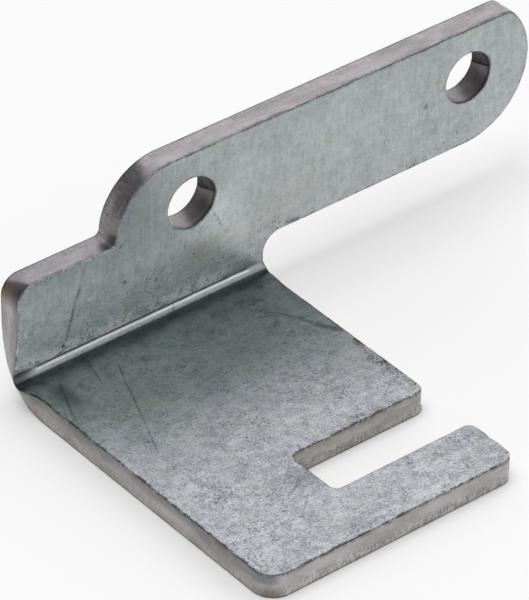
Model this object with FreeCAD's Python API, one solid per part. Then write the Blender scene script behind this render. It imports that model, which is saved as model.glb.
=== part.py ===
import FreeCAD, Part
import math
import os

# Mounting plate of a gearbox: one blank of zinc-coated steel plate, punched to its outline and
# folded once into an angle. The base is slotted from its right edge, so that it slides under a
# bolt head. The upright runs on past the base as an arm, with two bolt holes on one line.
# Lengths are in millimetres. +X runs along the arm, +Y from the base's front edge to the upright,
# +Z up. The origin is on the underside, below the middle of the whole plate.
# The inside of the fold is the side that the punch entered, so its edges are rolled over. The
# edges of the other side are sharp.

# The sheet and its fold
thickness = 4.0
fold_radius = 1.7
punched_edge_roll = 0.45

# The base
base_width = 42.5
base_depth = 58.0
front_left_corner = 3.5
front_right_corner = 2.2

# The slot, open at the base's right edge, and the prong in front of it
slot_length = 23.7
slot_width = 9.4
prong_width = 9.4
slot_mouth_corner = 1.4
slot_end_corner = 1.3

# The upright: its shoulder, the rise from there to the arm, and the neck under the arm
shoulder_length = 16.6
shoulder_corner = 2.8
rise_radius = 9.8
rise_foot_radius = 0.9
neck_radius = 3.0

# The arm, its bolt holes and its round end, which is drawn about the far hole
arm_clearance = 9.55
arm_above_bolts = 8.25
arm_end_radius = 11.3
arm_tip_corner = 2.0
bolt_bore = 8.2
bolt_pitch = 50.0
first_bolt_inset = 29.75

# The ends of the fold, where the squeezed inside swells past the edge and the stretched outside
# is drawn in. The left end is free. The right end is held back by the neck of the arm.
left_swell = 1.25
left_draw_in = 0.85
right_swell = 0.45
right_draw_in = 0.4
swell_run_on_base = 3.6
swell_run_on_upright = 6.6

# The line that the nose of the folding punch pressed into the upright, along the fold's top
press_line_depth = 0.12
press_line_radius = 0.35
press_line_inset = 2.2

# Places that follow from the sizes. The plate's lowest X is on the rolled edge of the swollen
# left end, in the middle of the fold, where the end leans most.
left_lean = math.atan2(left_swell + left_draw_in, thickness)
left_proud = left_swell + punched_edge_roll - punched_edge_roll / math.tan(math.pi / 4 - left_lean / 2)
left = (left_proud - first_bolt_inset - bolt_pitch - arm_end_radius) / 2
right = left + base_width
front = -base_depth / 2
back = base_depth / 2
inner_face = back - thickness
fold_start = inner_face - fold_radius
fold_top = thickness + fold_radius
fold_length = (fold_radius + thickness / 2) * math.pi / 2
swollen_strip = left + left_swell + left_draw_in + punched_edge_roll
bolt_height = arm_clearance + arm_end_radius
shoulder_height = bolt_height + arm_above_bolts - rise_radius
first_bolt = left + first_bolt_inset
second_bolt = first_bolt + bolt_pitch


def corner(x, y, radius, first, last):
    """An arc in the drawing plane about x, y, between two angles in degrees."""
    points = []
    for angle in (first, (first + last) / 2, last):
        turn = math.radians(angle)
        points.append(FreeCAD.Vector(x + radius * math.cos(turn), y + radius * math.sin(turn), 0))
    return Part.Arc(*points).toShape()


def blank(outline):
    """A flat sheet on the drawing plane: points and arcs in order, joined by straight edges."""
    edges = []
    ends = []
    for item in outline:
        if isinstance(item, tuple):
            ends.append((FreeCAD.Vector(*item, 0), FreeCAD.Vector(*item, 0)))
        else:
            ends.append((item.valueAt(item.FirstParameter), item.valueAt(item.LastParameter)))
            edges.append(item)
    for this, following in zip(ends, ends[1:] + ends[:1]):
        if not this[1].isEqual(following[0], thickness / 1e6):
            edges.append(Part.LineSegment(this[1], following[0]).toShape())
    face = Part.Face(Part.Wire(Part.__sortEdges__(edges)))
    return face.extrude(FreeCAD.Vector(0, 0, thickness))


def roll_punched_edges(flat, joint):
    """The flat sheet with its upper edges rolled over, but for the one at y = joint, where it
    goes on into the fold."""
    punched = []
    for edge in flat.Edges:
        box = edge.BoundBox
        at_joint = box.YLength < thickness / 1e6 and abs(box.YMin - joint) < thickness / 1e6
        if abs(box.ZMin - thickness) < thickness / 1e6 and not at_joint:
            punched.append(edge)
    return flat.makeFillet(punched_edge_roll, punched)


def base():
    """The flat base, as far as the fold's ends begin to swell. Its slot is open to the right."""
    slot_front = front + prong_width
    slot_back = slot_front + slot_width
    slot_end = right - slot_length
    joint = fold_start - swell_run_on_base
    flat = blank([
        (left, joint),
        corner(left + front_left_corner, front + front_left_corner, front_left_corner, 180, 270),
        corner(right - front_right_corner, front + front_right_corner, front_right_corner, 270, 360),
        corner(right - slot_mouth_corner, slot_front - slot_mouth_corner, slot_mouth_corner, 0, 90),
        corner(slot_end + slot_end_corner, slot_front + slot_end_corner, slot_end_corner, 270, 180),
        corner(slot_end + slot_end_corner, slot_back - slot_end_corner, slot_end_corner, 180, 90),
        corner(right - slot_mouth_corner, slot_back + slot_mouth_corner, slot_mouth_corner, 270, 360),
        (right, joint),
    ])
    return roll_punched_edges(flat, joint)


def upright():
    """The upright and its arm, drawn flat and stood on the fold, less the strip that swells."""
    rise = left + shoulder_length + rise_radius
    foot = rise - math.sqrt((rise_radius + rise_foot_radius) ** 2 - rise_foot_radius ** 2)
    foot_angle = math.degrees(math.asin(rise_foot_radius / (rise_radius + rise_foot_radius)))

    tip_above_bolt = arm_above_bolts - arm_tip_corner
    tip = second_bolt + math.sqrt((arm_end_radius - arm_tip_corner) ** 2 - tip_above_bolt ** 2)
    tip_angle = math.degrees(math.atan2(tip_above_bolt, tip - second_bolt))
    neck = min(neck_radius, arm_clearance - fold_top)

    flat = blank([
        (left, fold_top),
        corner(left + shoulder_corner, shoulder_height - shoulder_corner, shoulder_corner, 180, 90),
        corner(foot, shoulder_height + rise_foot_radius, rise_foot_radius, 270, 360 - foot_angle),
        corner(rise, shoulder_height, rise_radius, 180 - foot_angle, 90),
        corner(tip, bolt_height + tip_above_bolt, arm_tip_corner, 90, tip_angle),
        corner(second_bolt, bolt_height, arm_end_radius, tip_angle, -90),
        corner(right + neck, arm_clearance - neck, neck, 90, 180),
        (right, fold_top),
    ])
    for x in (first_bolt, second_bolt):
        flat = flat.cut(Part.makeCylinder(bolt_bore / 2, thickness, FreeCAD.Vector(x, bolt_height, 0)))
    stood = roll_punched_edges(flat, fold_top)
    stood.rotate(FreeCAD.Vector(0, 0, 0), FreeCAD.Vector(1, 0, 0), 90)
    stood.translate(FreeCAD.Vector(0, back, 0))
    strip_corner = FreeCAD.Vector(left - thickness, inner_face, fold_top)
    strip_width = swollen_strip - left + thickness
    return stood.cut(Part.makeBox(strip_width, thickness, swell_run_on_upright, strip_corner))


def in_sheet(x, run, depth):
    """The point at x, at a run along the sheet from the fold's start, and a depth below the
    side that is inside the fold. Runs are measured along the middle of the sheet."""
    if run < 0:
        return FreeCAD.Vector(x, fold_start + run, thickness - depth)
    if run > fold_length:
        return FreeCAD.Vector(x, inner_face + depth, fold_top + run - fold_length)
    turn = math.pi / 2 * run / fold_length
    reach = fold_radius + depth
    return FreeCAD.Vector(x, fold_start + reach * math.sin(turn), fold_top - reach * math.cos(turn))


def swell_share(run, depth, run_on_upright):
    """How much of its swell an end of the fold has there: all in the middle of the bend, and
    fading evenly, by the distance over the sheet's surface, into the flats on both sides."""
    half_bend = (fold_radius + depth) * math.pi / 4
    past_middle = run - fold_length / 2
    past_bend = abs(past_middle) - fold_length / 2
    distance = half_bend + past_bend
    if past_bend < 0:
        distance = half_bend * abs(past_middle) / (fold_length / 2)
    faded = half_bend + (swell_run_on_base if past_middle < 0 else run_on_upright)
    return (1 + math.cos(math.pi * distance / faded)) / 2


def end_profile(edge, outward, run, swell, draw_in, run_on_upright):
    """One end of the sheet's section: the start, middle and end of its rolled edge, and the
    sharp edge on the other side."""
    inner = edge + outward * swell * swell_share(run, 0, run_on_upright)
    outer = edge - outward * draw_in * swell_share(run, thickness, run_on_upright)
    lean = math.atan2(outward * (inner - outer), thickness)
    half_angle = (math.pi / 2 - lean) / 2
    tangent = punched_edge_roll / math.tan(half_angle)
    nearest = punched_edge_roll / math.sin(half_angle) - punched_edge_roll
    return [
        in_sheet(inner - outward * tangent, run, 0),
        in_sheet(inner - outward * nearest * math.cos(half_angle), run, nearest * math.sin(half_angle)),
        in_sheet(inner - outward * tangent * math.sin(lean), run, tangent * math.cos(lean)),
        in_sheet(outer, run, thickness),
    ]


def left_profile(run):
    return end_profile(left, -1, run, left_swell, left_draw_in, swell_run_on_upright)


def right_profile(run):
    return end_profile(right, 1, run, right_swell, right_draw_in, 0)


def full_section(run):
    """The sheet's section across the base or the fold, from its left end to its right."""
    near = left_profile(run)
    far = right_profile(run)
    return Part.Wire([
        Part.LineSegment(near[0], far[0]).toShape(),
        Part.Arc(*far[:3]).toShape(),
        Part.LineSegment(far[2], far[3]).toShape(),
        Part.LineSegment(far[3], near[3]).toShape(),
        Part.LineSegment(near[3], near[2]).toShape(),
        Part.Arc(near[2], near[1], near[0]).toShape(),
    ])


def strip_section(run):
    """The section of the upright's left strip, which swells above the fold."""
    near = left_profile(run)
    inner = in_sheet(swollen_strip, run, 0)
    outer = in_sheet(swollen_strip, run, thickness)
    return Part.Wire([
        Part.LineSegment(near[0], inner).toShape(),
        Part.LineSegment(inner, outer).toShape(),
        Part.LineSegment(outer, near[3]).toShape(),
        Part.LineSegment(near[3], near[2]).toShape(),
        Part.Arc(near[2], near[1], near[0]).toShape(),
    ])


def stretch(section, first, last, steps):
    """A stretch of the folded sheet, through sections at even steps from one run to another."""
    runs = [first + (last - first) * step / steps for step in range(steps + 1)]
    return Part.makeLoft([section(run) for run in runs], True)


def press_line():
    """What the nose of the folding punch pressed out of the upright, as a long thin rod."""
    start = FreeCAD.Vector(left + press_line_inset, inner_face + press_line_depth - press_line_radius, fold_top)
    length = base_width - 2 * press_line_inset
    return Part.makeCylinder(press_line_radius, length, start, FreeCAD.Vector(1, 0, 0))


def mounting_plate():
    """The whole plate: base, the swelling run up to the fold, the fold itself, the strip that
    swells above it and the upright, joined into one solid."""
    run_in = stretch(full_section, -swell_run_on_base, 0, 6)
    fold = stretch(full_section, 0, fold_length, 10)
    run_out = stretch(strip_section, fold_length, fold_length + swell_run_on_upright, 8)
    joined = base().fuse([run_in, fold, run_out, upright()])
    return joined.removeSplitter().cut(press_line()).Solids[0]


os.makedirs("parts", exist_ok=True)
mounting_plate().exportStep("parts/mounting_plate.step")
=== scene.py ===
import math

import bpy
import numpy as np
from mathutils import Matrix, Vector, geometry, kdtree, noise


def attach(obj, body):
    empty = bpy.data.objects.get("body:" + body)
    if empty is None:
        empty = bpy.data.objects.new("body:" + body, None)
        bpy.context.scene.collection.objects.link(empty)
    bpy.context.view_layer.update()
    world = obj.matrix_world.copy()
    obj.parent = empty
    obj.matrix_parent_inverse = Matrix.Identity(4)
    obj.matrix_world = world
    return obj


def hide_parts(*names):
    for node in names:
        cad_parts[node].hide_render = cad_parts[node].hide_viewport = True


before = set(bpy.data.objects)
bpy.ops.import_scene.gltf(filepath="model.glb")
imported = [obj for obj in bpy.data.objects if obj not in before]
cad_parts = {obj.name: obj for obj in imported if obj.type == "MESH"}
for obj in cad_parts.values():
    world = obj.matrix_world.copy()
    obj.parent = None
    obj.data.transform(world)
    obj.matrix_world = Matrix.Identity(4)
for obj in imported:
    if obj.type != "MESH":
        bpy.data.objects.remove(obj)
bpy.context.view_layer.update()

mm = 0.001

# The camera. It stands to the left of the plate and above it, about 0.7 m away, with a long lens,
# and is held very nearly level.
camera_azimuth = math.radians(-39.246)
camera_elevation = math.radians(36.434)
camera_roll = math.radians(0.644)
camera_distance = 692.97 * mm
camera_lens = 297.245
sensor_width = 36
nearest_in_view = 10 * mm
looked_at = Vector((-5.243, 21.34, 1.91)) * mm

away = Vector((math.sin(camera_azimuth) * math.cos(camera_elevation),
               -math.cos(camera_azimuth) * math.cos(camera_elevation),
               math.sin(camera_elevation)))
level = Vector((math.cos(camera_azimuth), math.sin(camera_azimuth), 0))
upward = away.cross(level)
across = level * math.cos(camera_roll) + upward * math.sin(camera_roll)
above = upward * math.cos(camera_roll) - level * math.sin(camera_roll)

camera = bpy.data.objects.new("camera", bpy.data.cameras.new("camera"))
camera.data.lens = camera_lens
camera.data.sensor_width = sensor_width
camera.data.clip_start = nearest_in_view
camera.matrix_world = (Matrix.Translation(looked_at + away * camera_distance)
                       @ Matrix((across, above, away)).transposed().to_4x4())
bpy.context.scene.collection.objects.link(camera)
bpy.context.scene.camera = camera


# The studio. A wide flat sheet of white paper lies just under the plate. A soft lamp hangs above
# it, a little to its left. A white room stands all round and is darker on the left, so that the
# sides that face there are darker too.
paper_size = 4000 * mm
paper_top = -0.02 * mm
paper_white = (0.93, 0.93, 0.93, 1)
paper_glow = 0.2
pure_white = (1, 1, 1, 1)
bright_way = (0.95, 0.22, 0.0)
dim_until = -0.3
bright_from = 0.68
dim_light = 0.25
full_light = 1.0
lamp_place = Vector((-350, 100, 1300)) * mm
lamp_width = 800 * mm
lamp_power = 6.0


def node(tree, kind, values=(), named=None, **settings):
    """A new node, its inputs given in order or by name, as numbers or as other nodes' outputs."""
    made = tree.nodes.new(kind)
    for name, value in settings.items():
        setattr(made, name, value)
    inputs = list(zip(made.inputs, values))
    inputs += [(made.inputs[name], value) for name, value in (named or {}).items()]
    for socket, value in inputs:
        if isinstance(value, bpy.types.NodeSocket):
            tree.links.new(value, socket)
        elif value is not None:
            socket.default_value = value
    return made.outputs[0]


def calc(tree, operation, *values, clamp=False):
    """One step of arithmetic on numbers or on other nodes' outputs."""
    return node(tree, "ShaderNodeMath", values, operation=operation, use_clamp=clamp)


def vector_calc(tree, operation, *values):
    """One step of arithmetic on places or directions, which gives a place or a number."""
    made = node(tree, "ShaderNodeVectorMath", values, operation=operation).node
    gives_number = operation in ("LENGTH", "DISTANCE", "DOT_PRODUCT")
    return made.outputs["Value" if gives_number else "Vector"]


half = paper_size / 2
paper_corners = [(x, y, paper_top) for x, y in ((-half, -half), (half, -half), (half, half), (-half, half))]
paper_mesh = bpy.data.meshes.new("paper")
paper_mesh.from_pydata(paper_corners, [], [(0, 1, 2, 3)])
paper = bpy.data.objects.new("paper", paper_mesh)
bpy.context.scene.collection.objects.link(paper)

white_paper = bpy.data.materials.new("white_paper")
white_paper.use_nodes = True
paper_tree = white_paper.node_tree
rays = node(paper_tree, "ShaderNodeLightPath").node.outputs
seen = calc(paper_tree, "MAXIMUM", rays["Is Camera Ray"], rays["Is Glossy Ray"])
seen = calc(paper_tree, "MAXIMUM", seen, rays["Is Transmission Ray"])
glow = calc(paper_tree, "MULTIPLY", seen, paper_glow)
paper_surface = paper_tree.nodes["Principled BSDF"]
paper_surface.inputs["Base Color"].default_value = paper_white
paper_surface.inputs["Roughness"].default_value = 1
paper_surface.inputs["Specular IOR Level"].default_value = 0
paper_surface.inputs["Emission Color"].default_value = pure_white
paper_tree.links.new(glow, paper_surface.inputs["Emission Strength"])
paper_mesh.materials.append(white_paper)

room = bpy.data.worlds.new("white_room")
room.use_nodes = True
bpy.context.scene.world = room
facing_out = node(room.node_tree, "ShaderNodeTexCoord").node.outputs["Generated"]
towards_bright = vector_calc(room.node_tree, "DOT_PRODUCT", facing_out, bright_way)
brightness = node(room.node_tree, "ShaderNodeMapRange",
                  (towards_bright, dim_until, bright_from, dim_light, full_light),
                  interpolation_type="SMOOTHSTEP")
walls = room.node_tree.nodes["Background"]
walls.inputs["Color"].default_value = pure_white
room.node_tree.links.new(brightness, walls.inputs["Strength"])

lamp = bpy.data.objects.new("lamp_above", bpy.data.lights.new("lamp_above", "AREA"))
lamp.data.size = lamp_width
lamp.data.energy = lamp_power
lamp_facing = -lamp_place.normalized()
lamp_turn = lamp_facing.to_track_quat("-Z", "Y").to_matrix().to_4x4()
lamp.matrix_world = Matrix.Translation(lamp_place) @ lamp_turn
bpy.context.scene.collection.objects.link(lamp)

bpy.context.scene.view_settings.view_transform = "Standard"


# The plate's blank. It is punched out of 4 mm steel sheet that was zinc-coated in the coil. The
# punch rolls the sheet's edges over on the side where it enters, burnishes the first part of the
# cut, and breaks the rest, so each cut side has a smooth band and a rough one, and a fine burr.
thickness = 4.0
fold_radius = 1.7
base_width = 42.5
front_left_corner = 3.5
front_right_corner = 2.2
prong_width = 9.4
slot_width = 9.4
slot_length = 23.7
slot_mouth_corner = 1.4
slot_end_corner = 1.3
shoulder_length = 16.6
shoulder_corner = 2.8
rise_radius = 9.8
rise_foot_radius = 0.9
neck_radius = 3.0
arm_end_radius = 11.3
arm_tip_corner = 2.0
arm_above_bolts = 8.25
bolt_bore = 8.2
bolt_pitch = 50.0
first_bolt_inset = 29.75

# Places on the finished plate
left = -45.0473
right = left + base_width
base_front = -29.0
inner_face = 25.0
arm_clearance = 9.55
shoulder_height = 19.3
bolt_height = 20.85
plate_height = 29.1
fold_start = inner_face - fold_radius
fold_top = thickness + fold_radius
fold_length = (fold_radius + thickness / 2) * math.pi / 2


def up_sheet(height):
    """How far up the flat sheet a height on the upright is, from where the fold starts."""
    return height - fold_top + fold_length


# Places on the flat sheet
front = base_front - fold_start
slot_front = front + prong_width
slot_back = slot_front + slot_width
slot_end = right - slot_length
shoulder = up_sheet(shoulder_height)
bolt_line = up_sheet(bolt_height)
arm_foot = up_sheet(arm_clearance)
sheet_top = up_sheet(plate_height)
first_bolt = left + first_bolt_inset
second_bolt = first_bolt + bolt_pitch
rise = left + shoulder_length + rise_radius
foot_run = math.sqrt((rise_radius + rise_foot_radius) ** 2 - rise_foot_radius ** 2)
foot_angle = math.degrees(math.asin(rise_foot_radius / (rise_radius + rise_foot_radius)))
tip_above_bolts = arm_above_bolts - arm_tip_corner
tip_run = math.sqrt((arm_end_radius - arm_tip_corner) ** 2 - tip_above_bolts ** 2)
tip_angle = math.degrees(math.atan2(tip_above_bolts, tip_run))

edge_step = 0.26


def arc(x, y, radius, first, last):
    """Points round x, y between two angles, each with the direction that faces out of the sheet."""
    turn = math.radians(last - first)
    steps = max(8, math.ceil(abs(turn) * radius / edge_step))
    facing = 1 if turn > 0 else -1
    points = []
    for step in range(steps + 1):
        angle = math.radians(first) + turn * step / steps
        ray = Vector((math.cos(angle), math.sin(angle)))
        points.append((Vector((x, y)) + ray * radius, ray * facing))
    return points


def closed_edge(*arcs):
    """The arcs in order, joined by straight edges into one loop, with the sheet on its left."""
    loop = []
    for this, following in zip(arcs, arcs[1:] + arcs[:1]):
        start, facing = this[-1]
        end = following[0][0]
        gap = (end - start).length
        loop += this[:-1] if gap < 1e-6 else this
        steps = math.ceil(gap / edge_step)
        loop += [(start.lerp(end, step / steps), facing) for step in range(1, steps)]
    return loop


def punched_hole(x, y, bore):
    """The edge of a round hole. It runs clockwise, so that the sheet stays on its left."""
    return arc(x, y, bore / 2, 360, 0)[:-1]


outline = closed_edge(
    arc(left + front_left_corner, front + front_left_corner, front_left_corner, 180, 270),
    arc(right - front_right_corner, front + front_right_corner, front_right_corner, 270, 360),
    arc(right - slot_mouth_corner, slot_front - slot_mouth_corner, slot_mouth_corner, 0, 90),
    arc(slot_end + slot_end_corner, slot_front + slot_end_corner, slot_end_corner, 270, 180),
    arc(slot_end + slot_end_corner, slot_back - slot_end_corner, slot_end_corner, 180, 90),
    arc(right - slot_mouth_corner, slot_back + slot_mouth_corner, slot_mouth_corner, 270, 360),
    arc(right + neck_radius, arm_foot - neck_radius, neck_radius, 180, 90),
    arc(second_bolt, bolt_line, arm_end_radius, -90, tip_angle),
    arc(second_bolt + tip_run, bolt_line + tip_above_bolts, arm_tip_corner, tip_angle, 90),
    arc(rise, shoulder, rise_radius, 90, 180 - foot_angle),
    arc(rise - foot_run, shoulder + rise_foot_radius, rise_foot_radius, 360 - foot_angle, 270),
    arc(left + shoulder_corner, shoulder - shoulder_corner, shoulder_corner, 90, 180),
)
bolt_holes = [punched_hole(x, bolt_line, bolt_bore) for x in (first_bolt, second_bolt)]

# The cut side in section: rolled edge, smooth band, torn band that steps back, and burr
edge_roll = 0.19
hole_roll = 0.13
roll_wander = 0.06
smooth_share = 0.6
smooth_share_in_hole = 0.52
step_back = 0.05
step_back_in_hole = -0.06
break_height = 0.3
coarse_tear = 0.03
fine_tear = 0.012
burr = 0.09
chip_depth = 0.3
chip_reach = 1.2
snag_reach = 0.32
snag_width = 0.7
snag_length = 0.6
snag_place = slot_back + 1.0
snag_top = 3.1
ripple = 0.006
strip_by_roll = 0.3
strip_by_burr = 0.35
punched_rows = 7
wall_rows = 17
burr_rows = 3
rows_per_edge = 1 + punched_rows + wall_rows + burr_rows


def uneven(x, y, size, seed):
    """A smooth chance variation from -1 to 1 over the sheet, with humps of about that size."""
    return noise.noise(Vector((x / size, y / size, seed * 7.31)))


def edge_profile(x, y, in_hole):
    """The cut side at a point of the edge, from the rolled edge down to the burr, as pairs of how
    far it lies inside the outline and how deep."""
    at_prong_end = math.exp(-((x - right) / chip_reach) ** 2) if y < slot_front - 1 else 0
    chipped = chip_depth * at_prong_end * max(0, uneven(x, y, 1.1, 9) + 0.2)
    roll = hole_roll if in_hole else edge_roll
    roll_in = roll + chipped + roll_wander * uneven(x, y, 5, 1) + roll_wander * uneven(x, y, 0.9, 2)
    roll_down = roll + chipped + roll_wander * uneven(x, y, 4, 3) + roll_wander * uneven(x, y, 0.8, 4)
    profile = [(roll_in + strip_by_roll, 0)]
    for row in range(punched_rows):
        angle = math.pi / 2 * row / (punched_rows - 1)
        profile.append((roll_in * (1 - math.sin(angle)), roll_down * (1 - math.cos(angle))))

    break_depth = thickness * (smooth_share_in_hole if in_hole else smooth_share)
    break_depth += 0.5 * uneven(x, y, 3.5, 5) + 0.2 * uneven(x, y, 0.7, 6)
    stepped = step_back_in_hole if in_hole else step_back
    snag = snag_reach * math.exp(-((x - right) / snag_width) ** 2 - ((y - snag_place) / snag_length) ** 2)
    for row in range(1, wall_rows + 1):
        depth = roll_down + (thickness - burr - roll_down) * row / wall_rows
        broken = min(1, max(0, (depth - break_depth) / break_height + 0.5))
        torn = coarse_tear * noise.noise(Vector((x / 0.45, y / 0.45, depth / 1.6)))
        torn += fine_tear * noise.noise(Vector((x / 0.2, y / 0.2, depth / 0.5)))
        pulled = snag * min(1, max(0, (depth - snag_top) / 0.3))
        profile.append((broken * (stepped + torn) + ripple * uneven(x, y, 0.6, 8) - pulled, depth))

    last_inset = profile[-1][0]
    profile.append((last_inset + 0.3 * burr, thickness - 0.3 * burr))
    profile.append((last_inset + burr, thickness))
    profile.append((last_inset + burr + strip_by_burr, thickness))
    return profile


# The mesh. Each vertex also keeps its place on the sheet, its distance from the edge and how far
# along the edge it is, which for a hole starts at a high number of its own.
hole_run = 1000
vertices = []
places = []
insets = []
runs = []
quads = []
edge_loops = []
for number, loop in enumerate([outline] + bolt_holes):
    first_vertex = len(vertices)
    edge_loops.append([first_vertex + rows_per_edge * count for count in range(len(loop))])
    run = hole_run * number
    for count, (point, facing) in enumerate(loop):
        if count:
            run += (point - loop[count - 1][0]).length
        for inset, depth in edge_profile(*point, number > 0):
            x = point.x - facing.x * inset
            y = point.y - facing.y * inset
            vertices.append((x, y, -depth))
            places.append((x, y, depth))
            insets.append(max(0, inset))
            runs.append(run)
    for here, there in zip(edge_loops[-1], edge_loops[-1][1:] + edge_loops[-1][:1]):
        for row in range(rows_per_edge - 1):
            quads.append((here + row, here + row + 1, there + row + 1, there + row))

edge_points = [point for loop in [outline] + bolt_holes for point, facing in loop]
edge_tree = kdtree.KDTree(len(edge_points))
for index, point in enumerate(edge_points):
    edge_tree.insert((*point, 0), index)
edge_tree.balance()


def from_edge(point):
    """How far a point of the flat sheet is from the nearest cut edge."""
    return edge_tree.find((*point, 0))[2]


def on_sheet(points, loops):
    """Which of the points lie inside the outer loop, and not in the slot or in a hole."""
    inside = np.zeros(len(points), bool)
    for loop in loops:
        corners = np.array([vertices[index][:2] for index in loop])
        following = np.roll(corners, -1, axis=0)
        for a, b in zip(corners, following):
            if a[1] != b[1]:
                crosses = (a[1] > points[:, 1]) != (b[1] > points[:, 1])
                reach = a[0] + (points[:, 1] - a[1]) / (b[1] - a[1]) * (b[0] - a[0])
                inside ^= crosses & (points[:, 0] < reach)
    return inside


def spaced(first, last, step):
    """Evenly spaced values from first to last, about a step apart."""
    return np.linspace(first, last, max(2, round((last - first) / step) + 1))


def skin(row, rows_up_sheet, step, depth):
    """One broad side of the sheet: triangles between its edge loops and rows of points."""
    loops = [[start + row for start in loop] for loop in edge_loops]
    sideways = spaced(left, second_bolt + arm_end_radius, step)
    points = np.array([(x, y) for y in rows_up_sheet for x in sideways])
    points = points[on_sheet(points, loops)]
    points = [point for point in points if from_edge(point) > 0.65 + 0.3 * step]
    known = [index for loop in loops for index in loop]
    flat = [Vector(vertices[index][:2]) for index in known]
    edges = []
    for loop in loops:
        first = len(edges)
        edges += [(first + k, first + (k + 1) % len(loop)) for k in range(len(loop))]
    for x, y in points:
        known.append(len(vertices))
        vertices.append((x, y, -depth))
        places.append((x, y, depth))
        insets.append(from_edge((x, y)))
        runs.append(0.0)
        flat.append(Vector((x, y)))
    _, _, triangles, came_from, _, _ = geometry.delaunay_2d_cdt(flat, edges, [], 0, 1e-6)
    triangles = [tuple(known[came_from[corner][0]] for corner in triangle) for triangle in triangles]
    middles = np.array([np.mean([vertices[corner][:2] for corner in t], axis=0) for t in triangles])
    kept = on_sheet(middles, loops)
    return [t for t, keep in zip(triangles, kept) if keep]


# Rows of points up the sheet, closer in the fold and closest where the punch pressed its line
inner_step = 0.8
outer_step = 1.0
inner_rows = np.concatenate([
    spaced(front, -1.2, inner_step), spaced(-0.9, fold_length - 1.2, 0.22),
    spaced(fold_length - 0.95, fold_length + 0.25, 0.06), spaced(fold_length + 0.45, fold_length + 1.6, 0.3),
    spaced(fold_length + 2.2, sheet_top, inner_step)])
outer_rows = np.concatenate([
    spaced(front, -1.2, outer_step), spaced(-0.8, fold_length + 0.8, 0.4),
    spaced(fold_length + 1.8, sheet_top, outer_step)])
inner_skin = skin(0, inner_rows, inner_step, 0.0)
outer_skin = [tuple(reversed(t)) for t in skin(rows_per_edge - 1, outer_rows, outer_step, thickness)]

blank_mesh = bpy.data.meshes.new("blank")
blank_mesh.from_pydata([Vector(v) * mm for v in vertices], [], quads + inner_skin + outer_skin)
row_of_quad = np.arange(len(quads)) % (rows_per_edge - 1)
bare = np.zeros(len(quads) + len(inner_skin) + len(outer_skin), bool)
bare[:len(quads)] = (row_of_quad >= punched_rows) & (row_of_quad < rows_per_edge - 2)
attributes = [
    ("sheet_place", "FLOAT_VECTOR", "POINT", "vector", np.array(places, np.float32).ravel()),
    ("inset", "FLOAT", "POINT", "value", np.array(insets, np.float32)),
    ("along_edge", "FLOAT", "POINT", "value", np.array(runs, np.float32)),
    ("bare_cut", "BOOLEAN", "FACE", "value", bare),
]
for name, kind, domain, field, values in attributes:
    blank_mesh.attributes.new(name, kind, domain).data.foreach_set(field, values)
plate = bpy.data.objects.new("plate", blank_mesh)
bpy.context.scene.collection.objects.link(plate)


# The coating. The zinc of the coil stays on both broad sides and over the rolled edges. It is dull
# and finely mottled, with rolling streaks, stains and small dark pits. Handling has scratched it,
# some edges are rubbed dark, and the fold is crazed where its outside stretched. Painted shade darkens
# the base towards the fold, the inside of the fold and the rolled edges; a painted highlight and a
# painted shadow mark the pressed line, and painted light brightens the foot of the upright.
def colour(red, green, blue):
    """A colour as a paint chart gives it, from 0 to 255, in the values that materials take."""
    shades = []
    for level_255 in (red, green, blue):
        level_1 = level_255 / 255
        shades.append(level_1 / 12.92 if level_1 <= 0.04045 else ((level_1 + 0.055) / 1.055) ** 2.4)
    return (*shades, 1)


def fade(tree, value, zero_at, one_at):
    """0 where the value is zero_at, 1 where it is one_at, and smooth between them."""
    return node(tree, "ShaderNodeMapRange", (value, zero_at, one_at, 0.0, 1.0),
                interpolation_type="SMOOTHSTEP")


def product(tree, first, *others):
    """All the amounts multiplied together."""
    for other in others:
        first = calc(tree, "MULTIPLY", first, other)
    return first


def band(tree, value, start, full, last_full, end):
    """1 where the value is from full to last_full, fading to 0 at start and at end."""
    return product(tree, fade(tree, value, start, full), fade(tree, value, end, last_full))


def added(tree, *parts, base=0.0):
    """A base plus amounts, each given as (share, value)."""
    total = base
    for share, value in parts:
        total = calc(tree, "MULTIPLY_ADD", value, share, total)
    return total


def cloud(tree, place, size, detail=2.0, rough=0.5, stretch=(1, 1, 1), seed=0.0):
    """Soft chance variation from 0 to 1, in humps of about that size, drawn out by stretch."""
    scale = tuple(1 / (size * way) for way in stretch)
    scaled = vector_calc(tree, "MULTIPLY_ADD", place, scale, (seed * 3.7, seed * 1.9, seed * 5.3))
    return node(tree, "ShaderNodeTexNoise",
                named={"Vector": scaled, "Scale": 1.0, "Detail": detail, "Roughness": rough})


def mixed(tree, share, first, second, blend="MIX"):
    """Two colours mixed by a share. The node's colour inputs are its seventh and eighth."""
    values = (share, None, None, None, None, None, first, second)
    return node(tree, "ShaderNodeMix", values, data_type="RGBA", blend_type=blend).node.outputs[2]


def shaded(tree, share, first, shade):
    """A colour multiplied by a shade, as far as the share says."""
    return mixed(tree, share, first, shade, blend="MULTIPLY")


def near_line(tree, place, start, end):
    """Distance in mm from a straight line on the side of the sheet inside the fold."""
    start = Vector((*start, 0))
    along = Vector((*end, 0)) - start
    from_start = vector_calc(tree, "SUBTRACT", place, tuple(start))
    share = calc(tree, "DIVIDE", vector_calc(tree, "DOT_PRODUCT", from_start, tuple(along)),
                 max(along.length_squared, 1e-6), clamp=True)
    foot = node(tree, "ShaderNodeVectorMath", (tuple(along),), {"Scale": share}, operation="SCALE")
    return vector_calc(tree, "DISTANCE", from_start, foot)


def kept_on_mesh(tree, name, output):
    """What the sheet's mesh keeps at each vertex under a name."""
    return node(tree, "ShaderNodeAttribute", attribute_name=name).node.outputs[output]


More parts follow.
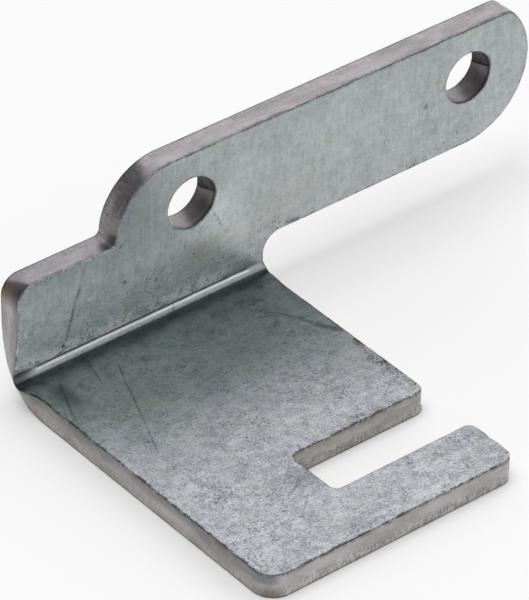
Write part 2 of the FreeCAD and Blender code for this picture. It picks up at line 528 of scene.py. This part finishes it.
def finish_surface(material, shade, metallic, rough, height, relief):
    """Gives a material its colour, its roughness, and a relief of that depth."""
    tree = material.node_tree
    bump = node(tree, "ShaderNodeBump", named={"Strength": 1.0, "Distance": relief, "Height": height})
    surface = tree.nodes["Principled BSDF"]
    surface.inputs["Metallic"].default_value = metallic
    tree.links.new(shade, surface.inputs["Base Color"])
    tree.links.new(rough, surface.inputs["Roughness"])
    tree.links.new(bump, surface.inputs["Normal"])


coated = bpy.data.materials.new("zinc_coating")
coated.use_nodes = True
coat = coated.node_tree
place = kept_on_mesh(coat, "sheet_place", "Vector")
inset = kept_on_mesh(coat, "inset", "Fac")
sideways, run, depth = node(coat, "ShaderNodeSeparateXYZ", (place,)).node.outputs
inside = fade(coat, depth, 3.0, 1.0)

# The zinc itself: greenish on the upright, lilac and coarser where the base is worn
green_dark = colour(142, 150, 149)
green_pale = colour(195, 200, 201)
lilac_dark = colour(137, 140, 147)
lilac_pale = colour(222, 224, 229)
even_lilac_dark = colour(146, 150, 155)
even_lilac_pale = colour(212, 215, 220)
yellower = (0.99, 1.0, 0.97, 1)
bluer = (1.0, 0.99, 1.03, 1)
clouds = cloud(coat, place, size=8.0, detail=3.0, rough=0.55, seed=1)
mottle = cloud(coat, place, size=1.3, detail=5.0, rough=0.66, seed=2)
speckle = cloud(coat, place, size=0.3, detail=1.2, rough=0.6, seed=3)
streaks = cloud(coat, place, size=0.45, detail=3.0, rough=0.6, stretch=(9, 1, 1), seed=4)
strokes = cloud(coat, place, size=0.5, detail=3.0, rough=0.6, stretch=(1, 8, 1), seed=10)
edge_chance = cloud(coat, place, size=2.2, detail=5.0, rough=0.68, seed=9)
tone = added(coat, (0.35, clouds), (0.8, mottle), (0.5, speckle), (0.3, streaks))
arm_tone = added(coat, (0.35, clouds), (0.55, mottle), (0.3, speckle), (0.15, streaks), (0.4, strokes),
                 base=0.1)
arm_change = calc(coat, "SUBTRACT", arm_tone, tone)
tone = fade(coat, calc(coat, "MULTIPLY_ADD", arm_change, fade(coat, run, 6.0, 14.0), tone), 0.62, 1.3)
green_zinc = mixed(coat, tone, green_dark, green_pale)
worn_tone = added(coat, (0.75, speckle), (0.8, mottle), (0.3, clouds), (0.3, streaks))
worn_tone = fade(coat, worn_tone, 0.72, 1.42)
lilac_zinc = mixed(coat, worn_tone, lilac_dark, lilac_pale)
even_lilac = mixed(coat, worn_tone, even_lilac_dark, even_lilac_pale)
lilac_zinc = mixed(coat, fade(coat, run, -20.0, -36.0), even_lilac, lilac_zinc)
worn_base = product(coat, fade(coat, run, 2.0, -26.0), inside)
zinc = mixed(coat, worn_base, green_zinc, lilac_zinc)
tint = fade(coat, cloud(coat, place, size=3.2, detail=3.0, rough=0.6, seed=7), 0.35, 0.65)
zinc = shaded(coat, 1.0, zinc, mixed(coat, tint, yellower, bluer))


def spot(x, y, width, length, strength):
    """A soft patch on the inside of the sheet, that wide and long in mm, with a ragged rim."""
    scale = (1 / width, 1 / length, 1)
    scaled = vector_calc(coat, "MULTIPLY_ADD", place, scale, (-x / width, -y / length, 0))
    far = calc(coat, "MULTIPLY_ADD", mottle, -1.1, vector_calc(coat, "LENGTH", scaled))
    return product(coat, fade(coat, far, 0.75, -0.35), strength)


# Stains, and one patch of painted shade inside the fold's left end: where on the flat sheet, how wide and
# long, how strong, and the colour
stains_and_shade = [
    (-13.5, 12.0, 3.6, 2.4, 0.4, colour(140, 133, 124)),
    (-7.2, 12.5, 4.5, 2.2, 0.2, colour(190, 188, 176)),
    (-25.0, -15.0, 3.4, 3.6, 0.3, colour(146, 151, 162)),
    (-35.0, -11.5, 6.0, 4.5, 0.35, colour(150, 158, 140)),
    (-17.0, -12.0, 9.0, 5.0, 0.25, colour(140, 150, 132)),
    (2.0, 15.0, 6.0, 5.0, 0.18, colour(176, 180, 164)),
    (-28.0, -38.5, 3.2, 2.2, 0.4, colour(120, 124, 134)),
    (-28.5, -50.0, 2.2, 1.6, 0.4, colour(122, 126, 132)),
    (-26.6, 26.6, 1.6, 4.5, 0.45, colour(186, 188, 204)),
    (-33.0, 12.7, 0.5, 0.24, 1.0, colour(240, 243, 243)),
    (-43.9, 11.7, 0.22, 0.6, 0.6, colour(214, 220, 220)),
    (-2.6, 4.5, 1.6, 4.5, 0.6, colour(160, 152, 166)),
    # Painted shade inside the left end of the fold
    (-44.2, 4.0, 1.6, 3.4, 0.75, colour(104, 102, 106)),
    (-41.9, -4.5, 1.6, 3.8, 0.65, colour(80, 84, 86)),
]
for *patch, patch_colour in stains_and_shade:
    zinc = mixed(coat, spot(*patch), zinc, patch_colour)

# Pits, with patches where they crowd, given as the stains are
pit_on_base = colour(82, 87, 89)
pit_on_upright = colour(104, 108, 112)
crowded_patches = [
    (-10.9, -46.3, 2.0, 0.8, 0.1), (-28.6, -37.6, 2.6, 1.8, 0.08), (-27.4, -51.3, 1.8, 0.7, 0.1),
    (-11.6, -27.6, 2.6, 1.2, 0.08), (-3.2, -28.6, 2.0, 2.4, 0.07), (-15.5, -41.8, 2.2, 0.9, 0.09),
]
crowded = 0.0
for patch in crowded_patches:
    crowded = calc(coat, "MAXIMUM", spot(*patch), crowded)
pit_field = cloud(coat, place, size=0.34, detail=1.0, rough=0.5, seed=5)
pit_crowd = cloud(coat, place, size=5.0, detail=2.0, rough=0.5, seed=6)
pits = added(coat, (1.0, pit_field), (0.35, pit_crowd), (0.035, worn_base), (1.0, crowded))
paler_up_sheet = added(coat, (-0.4, fade(coat, run, 8.0, 18.0)), base=0.68)
pits = product(coat, fade(coat, pits, 0.84, 0.92), paler_up_sheet)
zinc = mixed(coat, pits, zinc, mixed(coat, worn_base, pit_on_base, pit_on_upright))

# The base is painted darker towards the fold, a painted shade cast by the upright, with darker specks that
# thicken there. The outside of the fold is pale and crazed.
painted_shade_by_fold = (0.56, 0.61, 0.61, 1)
painted_shade_at_fold = (0.46, 0.51, 0.51, 1)
fold_speck_tint = (0.45, 0.45, 0.45, 1)
stretched_zinc = colour(172, 176, 175)
crazed_zinc = colour(96, 101, 101)
# Painted shade: the base darkens towards the fold as if in the upright's shadow
painted_fold_shade_share = product(coat, band(coat, run, -30.0, 0.0, 2.4, 3.2), inside)
painted_fold_shade_tint = mixed(coat, fade(coat, run, -8.0, 0.0), painted_shade_by_fold, painted_shade_at_fold)
zinc = shaded(coat, painted_fold_shade_share, zinc, painted_fold_shade_tint)
stretched = band(coat, run, -1.0, 1.2, fold_length - 1.2, fold_length + 1.0)
stretched = product(coat, stretched, fade(coat, depth, 3.0, 3.9))
zinc = mixed(coat, product(coat, stretched, 0.5), zinc, stretched_zinc)
crazing = cloud(coat, place, size=0.3, detail=3.0, rough=0.65, stretch=(9, 1, 1), seed=16)
crazing = product(coat, fade(coat, crazing, 0.43, 0.36), stretched, 0.6)
zinc = mixed(coat, crazing, zinc, crazed_zinc)
fold_dark_specks = fade(coat, added(coat, (1.0, edge_chance), (0.5, speckle)), 0.76, 0.98)
fold_dark_specks = product(coat, fold_dark_specks, painted_fold_shade_share, fade(coat, run, -18.0, 0.0))
zinc = shaded(coat, fold_dark_specks, zinc, fold_speck_tint)

# Scratches: start and end on the flat sheet, width, and strength
scratch_dark = colour(46, 50, 51)
scratches = [
    ((-32.17, -3.43), (-36.22, -13.59), 0.11, 0.6), ((-36.22, -13.59), (-39.67, -21.98), 0.1, 0.45),
    ((-35.17, -1.06), (-36.15, -4.59), 0.13, 0.4), ((-41.1, -2.12), (-44.18, -9.57), 0.18, 0.5),
    ((-33.88, 18.35), (-34.78, 15.06), 0.17, 0.3), ((-34.78, 15.06), (-37.13, 7.66), 0.22, 0.5),
    ((-37.13, 7.66), (-37.84, 6.28), 0.15, 0.3), ((-11.3, 17.4), (-10.17, 14.86), 0.16, 0.4),
    ((28.0, 16.4), (28.9, 15.2), 0.18, 0.22), ((28.9, 15.2), (28.5, 13.9), 0.18, 0.26),
    ((-10.8, -6.6), (-7.2, -8.1), 0.16, 0.32), ((-7.2, -8.1), (-5.9, -10.3), 0.22, 0.42),
    ((-5.9, -10.3), (-5.0, -12.9), 0.32, 0.5), ((-5.0, -12.9), (-3.2, -16.0), 0.45, 0.6),
    ((-6.6, -9.4), (-4.2, -13.4), 0.3, 0.35),
    ((-27.6, 19.0), (-27.5, 19.1), 0.24, 0.7), ((-27.1, 12.8), (-27.0, 12.7), 0.26, 0.6),
    ((-37.6, 6.9), (-37.5, 6.9), 0.26, 0.75), ((-38.2, 5.9), (-38.1, 5.9), 0.22, 0.65),
    ((26.8, 19.2), (27.0, 19.3), 0.3, 0.5), ((1.6, 10.3), (3.6, 10.1), 0.3, 0.5),
    ((-18.9, 2.9), (-18.6, 4.6), 0.12, 0.6), ((-21.0, 11.6), (-19.8, 12.3), 0.2, 0.3),
    ((-24.1, -32.3), (-24.6, -34.0), 0.12, 0.5), ((-24.9, -33.3), (-26.1, -33.6), 0.12, 0.4),
    ((-10.2, -33.0), (-15.0, -32.2), 0.34, 0.3), ((-14.4, -47.3), (-14.8, -49.2), 0.14, 0.35),
    ((-31.6, -40.0), (-28.6, -38.4), 0.2, 0.3), ((-39.8, -29.5), (-38.4, -34.1), 0.3, 0.2),
    ((-29.8, -41.4), (-33.2, -44.6), 0.16, 0.25), ((-12.5, -44.4), (-9.0, -46.2), 0.14, 0.25),
]
wander = node(coat, "ShaderNodeTexNoise", named={"Vector": place, "Scale": 0.35, "Detail": 3.0})
wander = vector_calc(coat, "MULTIPLY_ADD", wander.node.outputs["Color"], (0.5, 0.5, 0), (-0.25, -0.25, 0))
wandered = vector_calc(coat, "ADD", place, wander)
scratched = 0.0
for start, end, width, strength in scratches:
    line = fade(coat, near_line(coat, wandered, start, end), width * 1.8, width * 0.4)
    scratched = calc(coat, "MAXIMUM", product(coat, line, strength), scratched)
scratch_gaps = fade(coat, cloud(coat, place, size=0.9, detail=2.0, rough=0.6, seed=8), 0.36, 0.5)
scratched = product(coat, scratched, added(coat, (0.6, scratch_gaps), base=0.4))
zinc = mixed(coat, scratched, zinc, scratch_dark)

# The rims, rougher and painted darker to dim the rolled edges' highlight, broken by a dark line, and the
# right side, scuffed where it was rubbed
rim_painted_shade = colour(96, 98, 100)
edge_dark = colour(50, 52, 54)
scuff_brown = colour(54, 51, 47)
rim = fade(coat, inset, 0.16, 0.04)
# Painted shade dims the highlight on the rolled edges
zinc = mixed(coat, product(coat, rim, 0.45), zinc, rim_painted_shade)
near_rim = fade(coat, inset, 0.6, 0.05)
edge_line = fade(coat, added(coat, (1.0, edge_chance), (0.7, speckle), (0.25, near_rim)), 1.02, 1.12)
weaker_on_arm = added(coat, (-0.3, fade(coat, run, 7.0, 12.0)), base=0.8)
edge_line = product(coat, edge_line, fade(coat, inset, 0.7, 0.3), weaker_on_arm)
zinc = mixed(coat, edge_line, zinc, edge_dark)
rubbed_width = added(coat, (2.4, fade(coat, run, -17.0, -25.0)), base=1.0)
across_rubbed = calc(coat, "DIVIDE", calc(coat, "SUBTRACT", right, sideways), rubbed_width)
rubbed = band(coat, run, slot_back + 0.3, slot_back + 1.6, -17.0, -11.5)
rubbed = product(coat, rubbed, fade(coat, across_rubbed, 1.0, 0.1))
rubbed = product(coat, rubbed, inside, fade(coat, sideways, right + 1, right + 0.5))
scuffs = fade(coat, added(coat, (0.9, speckle), (0.9, edge_chance), (0.25, rubbed)), 1.06, 1.2)
scuffs = product(coat, scuffs, fade(coat, rubbed, 0.0, 0.4), 0.82)
zinc = mixed(coat, scuffs, zinc, scuff_brown)

# The fold is painted darker inside, with a painted highlight on the strip the punch pressed flat and a
# painted shadow just under the pressed line above it
inner_fold_shade_tint = (0.22, 0.24, 0.25, 1)
painted_highlight_white = colour(250, 251, 252)
crease_shadow_dark = colour(40, 44, 46)
along_punch = product(coat, band(coat, sideways, left + 2.6, left + 3.4, right - 3.4, right - 2.2), inside)
wavy_run = calc(coat, "MULTIPLY_ADD", edge_chance, 0.4, calc(coat, "SUBTRACT", run, 0.2))
# Painted shade inside the fold
inner_fold_painted_shade = product(coat, fade(coat, wavy_run, -2.2, 1.8), fade(coat, run, 3.5, 2.3), inside)
zinc = shaded(coat, inner_fold_painted_shade, zinc, inner_fold_shade_tint)
fine_grain = fade(coat, speckle, 0.38, 0.58)
long_grain = fade(coat, streaks, 0.36, 0.56)
grained = added(coat, (0.24, fine_grain), (0.3, long_grain), base=0.5)
# A painted highlight along the pressed strip
painted_highlight_strip = product(coat, band(coat, wavy_run, 3.6, 4.4, 4.5, 4.85), along_punch, grained)
zinc = mixed(coat, painted_highlight_strip, zinc, painted_highlight_white)
# A painted shadow under the step of the pressed line
crease_painted_shadow = product(coat, band(coat, wavy_run, 4.75, 5.0, 5.2, 5.45), along_punch, 0.74)
zinc = mixed(coat, crease_painted_shadow, zinc, crease_shadow_dark)

# The foot of the upright is brightened with painted light, most of all low down and to the left, with darker
# flecks
foot_light_tint = (2.5, 2.57, 2.53, 1)
fleck_shade = (0.6, 0.62, 0.61, 1)
low_down = added(coat, (0.53, fade(coat, run, 8.5, 6.2)), base=0.47)
far_left = added(coat, (0.2, fade(coat, sideways, -22.0, -42.0)), base=0.96)
foot_painted_light = product(coat, band(coat, run, 5.4, 5.8, 14.0, 26.0), inside, fade(coat, sideways, -3.0, -14.0))
foot_painted_light = product(coat, foot_painted_light, low_down, far_left)
# Painted light brightens the foot of the upright
zinc = shaded(coat, foot_painted_light, zinc, foot_light_tint)
flecks = fade(coat, added(coat, (0.6, mottle), (0.4, speckle)), 0.57, 0.44)
flecks = product(coat, flecks, foot_painted_light, fade(coat, run, 9.0, 6.4))
zinc = shaded(coat, flecks, zinc, fleck_shade)

zinc_rough = added(coat, (0.14, mottle), (0.28, foot_painted_light), (0.2, rim), (0.2, scratched), base=0.27)
zinc_height = added(coat, (0.6, mottle), (0.6, speckle), (0.3, streaks))
finish_surface(coated, zinc, 0.85, zinc_rough, zinc_height, relief=0.009 * mm)


# The cut sides. Bare steel, cut after the sheet was coated: burnished next to the rolled edge, torn
# and striped through the thickness beyond it, and darker along the last of the burr. The holes carry
# painted shade on one side, the rise and the shoulder's corner carry painted shade too, and there
# are a few brown stains.
cut_steel = bpy.data.materials.new("cut_steel")
cut_steel.use_nodes = True
cut = cut_steel.node_tree
cut_place = kept_on_mesh(cut, "sheet_place", "Vector")
along = kept_on_mesh(cut, "along_edge", "Fac")
sideways, run, depth = node(cut, "ShaderNodeSeparateXYZ", (cut_place,)).node.outputs
wall = node(cut, "ShaderNodeCombineXYZ", (along, depth, 0.0))

# The smooth band and the torn band
smooth_dark = colour(164, 162, 161)
smooth_pale = colour(188, 186, 186)
torn_dark = colour(128, 126, 124)
torn_pale = colour(218, 216, 214)
arm_tint = (1.03, 0.985, 1.03, 1)
stripes = cloud(cut, wall, size=0.26, detail=3.0, rough=0.62, stretch=(1, 6, 1), seed=11)
patches = cloud(cut, wall, size=2.6, detail=4.0, rough=0.6, stretch=(1.8, 0.6, 1), seed=12)
grain = cloud(cut, wall, size=0.32, detail=3.0, rough=0.6, seed=13)
torn = fade(cut, added(cut, (1.0, depth), (3.0, patches)), 3.6, 4.2)
smooth_tone = fade(cut, added(cut, (1.0, patches), (0.35, grain)), 0.5, 0.85)
smooth_band = mixed(cut, smooth_tone, smooth_dark, smooth_pale)
torn_tone = fade(cut, added(cut, (0.45, patches), (0.6, grain), (0.9, stripes)), 0.72, 1.2)
torn_band = mixed(cut, torn_tone, torn_dark, torn_pale)
on_arm = fade(cut, run, 6.0, 12.0)
on_left = fade(cut, sideways, left + 2.6, left + 1.2)
torn_share = added(cut, (-0.45, on_arm), (-0.4, on_left), base=0.75)
steel = mixed(cut, product(cut, torn, torn_share), smooth_band, torn_band)
steel = shaded(cut, on_arm, steel, arm_tint)

# Shades of the left side, the slot and the ledge at the rise's foot, painted shade on the rise, with its
# flutes, and on the shoulder's corner, most of them in two bands, next to the face and next to the back
left_by_face = (0.6, 0.585, 0.605, 1)
left_by_back = (0.97, 0.95, 0.93, 1)
slot_shade = (0.88, 0.87, 0.82, 1)
high_rise_face_painted_shade = (0.3, 0.3, 0.32, 1)
low_rise_face_painted_shade = (0.57, 0.565, 0.565, 1)
high_rise_back_painted_shade = (0.25, 0.26, 0.26, 1)
low_rise_back_painted_shade = (0.69, 0.68, 0.67, 1)
flute_dark = (0.84, 0.84, 0.85, 1)
flute_pale = (1.12, 1.11, 1.1, 1)
ledge_shade = (0.85, 0.85, 0.87, 1)
shoulder_face_painted_shade = (0.36, 0.34, 0.35, 1)
shoulder_back_shade_and_brown = (0.44, 0.34, 0.2, 1)
patchy_depth = added(cut, (1.0, depth), (1.6, patches))
by_back = fade(cut, patchy_depth, 2.6, 4.4)
lower_half = fade(cut, patchy_depth, 1.5, 3.3)
steel = shaded(cut, on_left, steel, mixed(cut, lower_half, left_by_face, left_by_back))
in_slot = band(cut, run, slot_front - 2, slot_front + 2, slot_back + 1, slot_back + 2)
in_slot = product(cut, in_slot, fade(cut, sideways, slot_end - 0.5, slot_end + 0.5))
steel = shaded(cut, in_slot, steel, slot_shade)
leaning = added(cut, (-0.45, depth), (1.0, sideways), base=0.45)
above_shoulder = fade(cut, run, shoulder + 0.1, shoulder + 1.4)
on_rise = product(cut, fade(cut, leaning, rise - 3.0, rise - 5.0), above_shoulder)
low_on_rise = fade(cut, sideways, rise - 5.0, rise - 9.4)
rise_shade_by_face = mixed(cut, low_on_rise, high_rise_face_painted_shade, low_rise_face_painted_shade)
rise_shade_by_back = mixed(cut, low_on_rise, high_rise_back_painted_shade, low_rise_back_painted_shade)
# Painted shade on the rise, deepest high up
steel = shaded(cut, on_rise, steel, mixed(cut, by_back, rise_shade_by_face, rise_shade_by_back))
steel = shaded(cut, on_rise, steel, mixed(cut, fade(cut, stripes, 0.36, 0.62), flute_dark, flute_pale))
on_ledge = band(cut, run, shoulder - 0.5, shoulder - 0.2, shoulder + 0.4, shoulder + 0.8)
on_ledge = product(cut, on_ledge, fade(cut, sideways, rise - 8.0, rise - 10.0))
steel = shaded(cut, on_ledge, steel, ledge_shade)
shoulder_corner_shade = fade(cut, added(cut, (0.35, depth), (1.0, sideways)), left + 2.7, left + 2.0)
shoulder_corner_shade = product(cut, shoulder_corner_shade, fade(cut, run, shoulder - 4.6, shoulder - 1.6))
# Painted shade on the shoulder's corner, with a brown tint next to the back
steel = shaded(cut, shoulder_corner_shade, steel, mixed(cut, by_back, shoulder_face_painted_shade, shoulder_back_shade_and_brown))


def wall_spot(x, y, deep, size, strength):
    """A soft ragged patch on a cut side, about that many mm wide."""
    away = vector_calc(cut, "LENGTH", vector_calc(cut, "SUBTRACT", cut_place, (x, y, deep)))
    away = added(cut, (1.0, away), (-0.4 * size, grain), (-size, patches))
    return product(cut, fade(cut, away, 0.5 * size, -0.3 * size), strength)


# Stains at the foot of the rise, the front left corner and the slot's back wall
cut_stains = [
    (rise - foot_run, shoulder + 0.4, 0.5, 1.6, 0.8, colour(66, 62, 60)),
    (left + 0.9, front + 0.9, 4.0, 1.9, 0.6, colour(112, 98, 70)),
    (slot_end + 1.0, slot_back - 0.4, 3.8, 2.2, 0.5, colour(122, 100, 68)),
]
for *patch, patch_colour in cut_stains:
    steel = mixed(cut, wall_spot(*patch), steel, patch_colour)
pit_brown = colour(84, 78, 76)
cut_pits = fade(cut, cloud(cut, wall, size=0.34, detail=1.0, rough=0.5, seed=14), 0.69, 0.76)
steel = mixed(cut, product(cut, cut_pits, 0.6), steel, pit_brown)

# The holes: painted shade on the right, and painted black shade there above a ragged line at the height of
# the axis
hole_left_shade = (0.9, 0.94, 0.95, 1)
hole_right_shade = (0.36, 0.36, 0.36, 1)
hole_shade_black = colour(22, 23, 23)
lip_dark = colour(56, 54, 53)
in_hole = fade(cut, along, 0.6 * hole_run, 0.9 * hole_run)
half_pitch = bolt_pitch / 2
beside_axis = calc(cut, "WRAP", sideways, first_bolt + half_pitch, first_bolt - half_pitch)
beside_axis = calc(cut, "SUBTRACT", beside_axis, first_bolt)
above_axis = calc(cut, "SUBTRACT", run, bolt_line)
hole_shade_side = fade(cut, added(cut, (1.0, beside_axis), (-0.35, depth), (0.9, patches)), -0.6, 1.2)
hole_shade_side = calc(cut, "MAXIMUM", hole_shade_side, fade(cut, above_axis, -2.6, -1.6))
# Painted shade on the holes' right side
steel = shaded(cut, in_hole, steel, mixed(cut, hole_shade_side, hole_left_shade, hole_right_shade))
ragged_height = added(cut, (1.0, above_axis), (0.24, depth), (0.5, patches))
hole_black_shade = product(cut, fade(cut, ragged_height, 0.45, 0.75), fade(cut, beside_axis, 0.0, 2.0), 0.78)
hole_shade_line = product(cut, band(cut, ragged_height, 0.15, 0.4, 0.6, 0.95), fade(cut, beside_axis, -0.5, 1.5))
hole_black_shade = product(cut, calc(cut, "MAXIMUM", hole_black_shade, hole_shade_line), in_hole)
# Painted black shade in the holes above the axis, on the right
steel = mixed(cut, hole_black_shade, steel, hole_shade_black)
hole_lip = product(cut, fade(cut, depth, 0.65, 0.3), in_hole, 0.6)
steel = mixed(cut, hole_lip, steel, lip_dark)

# The last of the burr, and a broken dark line under the rolled edge
burr_brown = colour(76, 70, 62)
high_line_dark = colour(72, 68, 66)
low_edge = fade(cut, added(cut, (1.0, depth), (0.5, grain)), 3.85, 4.15)
steel = mixed(cut, product(cut, low_edge, 0.65), steel, burr_brown)
line_gaps = fade(cut, cloud(cut, wall, size=1.5, detail=4.0, rough=0.65, seed=15), 0.42, 0.58)
high_edge = product(cut, fade(cut, depth, 0.75, 0.35), line_gaps, 0.5)
steel = mixed(cut, high_edge, steel, high_line_dark)

steel_rough = added(cut, (0.12, torn), base=0.42)
steel_height = added(cut, (0.5, grain), (1.6, product(cut, stripes, torn)), (-0.8, cut_pits))
finish_surface(cut_steel, steel, 0.75, steel_rough, steel_height, relief=0.02 * mm)


# The fold. The blank is folded once round the nose of a punch. That squeezes the inside of the
# fold, which swells out at its ends, stretches the outside, and leaves a pressed line above it.
fold_sizes = {
    "Thickness": thickness, "Fold Radius": fold_radius, "Fold Start": fold_start, "Left Edge": left,
    "Right Edge": right, "Left Swell": 1.13, "Left Draw In": 0.85, "Right Swell": 0.4,
    "Right Draw In": 0.4, "Swell Run On Base": 3.6, "Swell Run On Upright": 6.6, "Swell Width": 4.0,
    "End Fall": 0.3, "End Fall Run": 2.0, "Press Line Depth": 0.12, "Press Line Width": 0.3,
    "Press Line Left Inset": 3.0, "Press Line Right Inset": 2.6,
}
fold_angles = {"Strip Foot": math.radians(56), "Strip Head": math.radians(79), "Strip Tilt": math.radians(60)}
quarter = math.pi / 2
full_swell_strip = 0.5 * mm
line_wobble = 0.4 * mm
line_below_bend = 0.35 * mm
line_end_fade = 0.4 * mm
strip_head_fade = 0.08
surface_depth = 0.01 * mm

fold = bpy.data.node_groups.new("fold", "GeometryNodeTree")
fold.interface.new_socket(name="Blank", in_out="INPUT", socket_type="NodeSocketGeometry")
fold.interface.new_socket(name="Plate", in_out="OUTPUT", socket_type="NodeSocketGeometry")
fold_inputs = {name: value * mm for name, value in fold_sizes.items()} | fold_angles
sockets = {}
for name, value in fold_inputs.items():
    sockets[name] = fold.interface.new_socket(name=name, in_out="INPUT", socket_type="NodeSocketFloat")
    sockets[name].default_value = value
given = fold.nodes.new("NodeGroupInput")
size = {name: given.outputs[name] for name in sockets}

flat_place = node(fold, "GeometryNodeInputPosition")
sideways, run, upwards = node(fold, "ShaderNodeSeparateXYZ", (flat_place,)).node.outputs
depth = calc(fold, "MULTIPLY", upwards, -1.0)
through = calc(fold, "DIVIDE", depth, size["Thickness"])
reach = calc(fold, "ADD", size["Fold Radius"], depth)
middle_radius = calc(fold, "MULTIPLY_ADD", size["Thickness"], 0.5, size["Fold Radius"])
bend = product(fold, middle_radius, quarter)
in_bend = calc(fold, "MINIMUM", calc(fold, "MAXIMUM", run, 0.0), bend)
past_bend = calc(fold, "SUBTRACT", run, in_bend)
turned = calc(fold, "DIVIDE", in_bend, bend)
turn = product(fold, turned, quarter)

half_arc = product(fold, reach, quarter / 2)
from_middle = calc(fold, "ABSOLUTE", calc(fold, "MULTIPLY_ADD", turned, 2.0, -1.0))
distance = calc(fold, "ADD", product(fold, half_arc, from_middle), calc(fold, "ABSOLUTE", past_bend))
on_base = calc(fold, "LESS_THAN", turned, 0.5)


def swell_share(run_on_upright):
    """All of the swell in the middle of the bend, fading evenly into the flats on both sides."""
    run_out = calc(fold, "SUBTRACT", size["Swell Run On Base"], run_on_upright)
    run_out = calc(fold, "MULTIPLY_ADD", on_base, run_out, run_on_upright)
    faded = calc(fold, "DIVIDE", distance, calc(fold, "ADD", half_arc, run_out), clamp=True)
    return calc(fold, "MULTIPLY_ADD", calc(fold, "COSINE", product(fold, faded, math.pi)), 0.5, 0.5)


def swelling(from_side, swell, draw_in, run_on_upright):
    """How far out of its end the sheet goes there, all at its edge and none a swell width in."""
    all_through = calc(fold, "ADD", swell, draw_in)
    proud = calc(fold, "SUBTRACT", swell, product(fold, all_through, through))
    past_strip = calc(fold, "SUBTRACT", from_side, full_swell_strip)
    held = calc(fold, "SUBTRACT", 1.0, calc(fold, "DIVIDE", past_strip, size["Swell Width"]), clamp=True)
    return product(fold, proud, held, swell_share(run_on_upright))


from_left = calc(fold, "SUBTRACT", sideways, size["Left Edge"])
from_right = calc(fold, "SUBTRACT", size["Right Edge"], sideways)
left_swelling = swelling(from_left, size["Left Swell"], size["Left Draw In"], size["Swell Run On Upright"])
right_swelling = swelling(from_right, size["Right Swell"], size["Right Draw In"], 0.0)
folded_x = calc(fold, "ADD", calc(fold, "SUBTRACT", sideways, left_swelling), right_swelling)

# The inside of the fold falls back at its ends
at_end = fade(fold, calc(fold, "MINIMUM", from_left, from_right), size["End Fall Run"], 0.0)
arch = calc(fold, "SINE", product(fold, turned, math.pi))
not_through = calc(fold, "SUBTRACT", 1.0, through)
reach = calc(fold, "ADD", reach, product(fold, at_end, arch, not_through, size["End Fall"]))

# The pressed line, and the strip below it that the punch pressed flat
wobble = cloud(fold, flat_place, size=2.5 * mm, detail=3.0, rough=0.6, seed=21)
past_line = added(fold, (line_wobble, wobble), (1.0, calc(fold, "SUBTRACT", run, bend)), base=line_below_bend)
line = calc(fold, "DIVIDE", calc(fold, "ABSOLUTE", past_line), size["Press Line Width"])
line = product(fold, fade(fold, line, 1.0, 0.0), size["Press Line Depth"])
foot_gap = calc(fold, "COSINE", calc(fold, "SUBTRACT", size["Strip Foot"], size["Strip Tilt"]))
here_gap = calc(fold, "COSINE", calc(fold, "SUBTRACT", turn, size["Strip Tilt"]))
flat_reach = calc(fold, "SUBTRACT", calc(fold, "DIVIDE", foot_gap, here_gap), 1.0)
past_foot = calc(fold, "GREATER_THAN", turn, size["Strip Foot"])
before_head = fade(fold, calc(fold, "SUBTRACT", turn, size["Strip Head"]), strip_head_fade, 0.0)
strip = product(fold, flat_reach, size["Fold Radius"], past_foot, before_head)
past_left_end = calc(fold, "SUBTRACT", from_left, size["Press Line Left Inset"])
past_right_end = calc(fold, "SUBTRACT", from_right, size["Press Line Right Inset"])
between_ends = product(fold, fade(fold, past_left_end, -line_end_fade, line_end_fade),
                       fade(fold, past_right_end, -line_end_fade, line_end_fade))
at_surface = calc(fold, "LESS_THAN", depth, surface_depth)
pressed = product(fold, calc(fold, "ADD", line, strip), between_ends, at_surface)
reach = calc(fold, "ADD", reach, pressed)

sine = calc(fold, "SINE", turn)
cosine = calc(fold, "COSINE", turn)
centre_z = calc(fold, "ADD", size["Thickness"], size["Fold Radius"])
bent_y = calc(fold, "MULTIPLY_ADD", reach, sine, size["Fold Start"])
folded_y = calc(fold, "MULTIPLY_ADD", past_bend, cosine, bent_y)
bent_z = calc(fold, "SUBTRACT", centre_z, product(fold, reach, cosine))
folded_z = calc(fold, "MULTIPLY_ADD", past_bend, sine, bent_z)
folded = node(fold, "ShaderNodeCombineXYZ", (folded_x, folded_y, folded_z))

moved = node(fold, "GeometryNodeSetPosition", named={"Geometry": given.outputs["Blank"], "Position": folded})
smooth = node(fold, "GeometryNodeSetShadeSmooth", named={"Geometry": moved})
real = node(fold, "GeometryNodeRealizeInstances", named={"Geometry": smooth})
finish = node(fold, "GeometryNodeSetMaterial", named={"Geometry": real, "Material": coated})
is_bare = node(fold, "GeometryNodeInputNamedAttribute", named={"Name": "bare_cut"}, data_type="BOOLEAN")
finish = node(fold, "GeometryNodeSetMaterial",
              named={"Geometry": finish, "Selection": is_bare, "Material": cut_steel})
result = fold.nodes.new("NodeGroupOutput")
fold.links.new(finish, result.inputs["Plate"])

folding = plate.modifiers.new("fold", "NODES")
folding.node_group = fold
for name, socket in sockets.items():
    folding[socket.identifier] = fold_inputs[name]
seen_through = bpy.context.evaluated_depsgraph_get()
plate_mesh = bpy.data.meshes.new_from_object(plate.evaluated_get(seen_through), depsgraph=seen_through,
                                             preserve_all_data_layers=True)
plate.modifiers.remove(folding)
plate.data = plate_mesh
plate_mesh.name = "plate"

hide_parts("mounting_plate")
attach(plate, "root")
